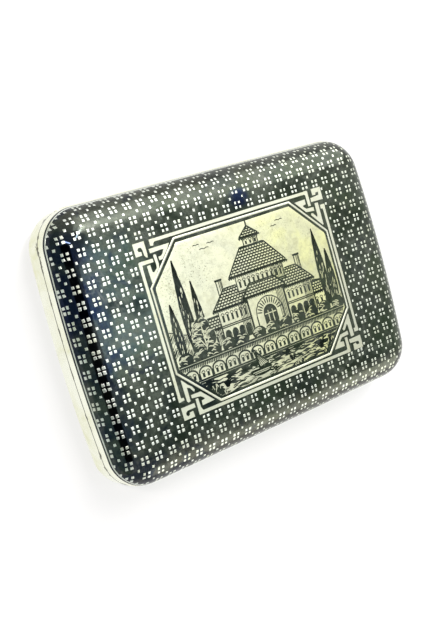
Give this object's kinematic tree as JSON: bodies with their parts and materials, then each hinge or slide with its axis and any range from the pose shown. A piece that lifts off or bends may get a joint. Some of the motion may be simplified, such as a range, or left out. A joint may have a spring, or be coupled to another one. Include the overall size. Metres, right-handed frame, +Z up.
{
  "type": "tobacco case",
  "caption": "Hinged pillow-shaped tobacco case of sheet silver with a niello-patterned lid, gilt inside, and a push-button snap catch.",
  "frame": {"origin": "on the surface that the flat back rests on, under the middle of the case", "axes": "+X along the case's length, +Y towards the hinged long side, +Z up out of the lid's decorated face"},
  "size_m": [0.115, 0.081, 0.0216],
  "materials": {
    "silver": "polished silver with a warm tarnish and fine scratches",
    "niello_silver": "dark niello ground inlaid with bright silver, burnished smooth",
    "gilt": "fire-gilt silver, softly worn",
    "pin_wire": "drawn wire",
    "spring_metal": "tempered strip, dull"
  },
  "bodies": {
    "base": {"base_pan": "silver", "base_rim_liner": "gilt", "base_bezel": "gilt", "base_hinge_bearer": "gilt", "base_knuckle_1": "silver", "base_knuckle_2": "silver", "base_knuckle_3": "silver", "base_knuckle_4": "silver", "hinge_pin": "pin_wire", "hinge_plug_left": "silver", "hinge_plug_right": "silver", "catch_spring": "spring_metal", "spring_rivet_left": "spring_metal", "spring_rivet_right": "spring_metal", "button_collar": "silver"},
    "lid": {"lid_cover": "niello_silver", "lid_rim_liner": "gilt", "lid_hinge_bearer": "gilt", "lid_knuckle_1": "silver", "lid_knuckle_2": "silver", "lid_knuckle_3": "silver"},
    "button": {"push_button": "silver", "button_clip": "spring_metal"}
  },
  "joints": [
    {"name": "lid_hinge", "type": "hinge", "parent": "base", "child": "lid", "pos_m": [0, 0.03905, 0.01126], "axis": [-1, 0, 0], "range_deg": [0, 96], "deforming": ["catch_spring"]},
    {"name": "button_press", "type": "slide", "parent": "base", "child": "button", "axis": [0, 1, 0], "range_m": [0, 0.0006], "stiffness_N_per_m": 1500, "springref_m": -0.0004, "deforming": ["catch_spring"]}
  ]
}
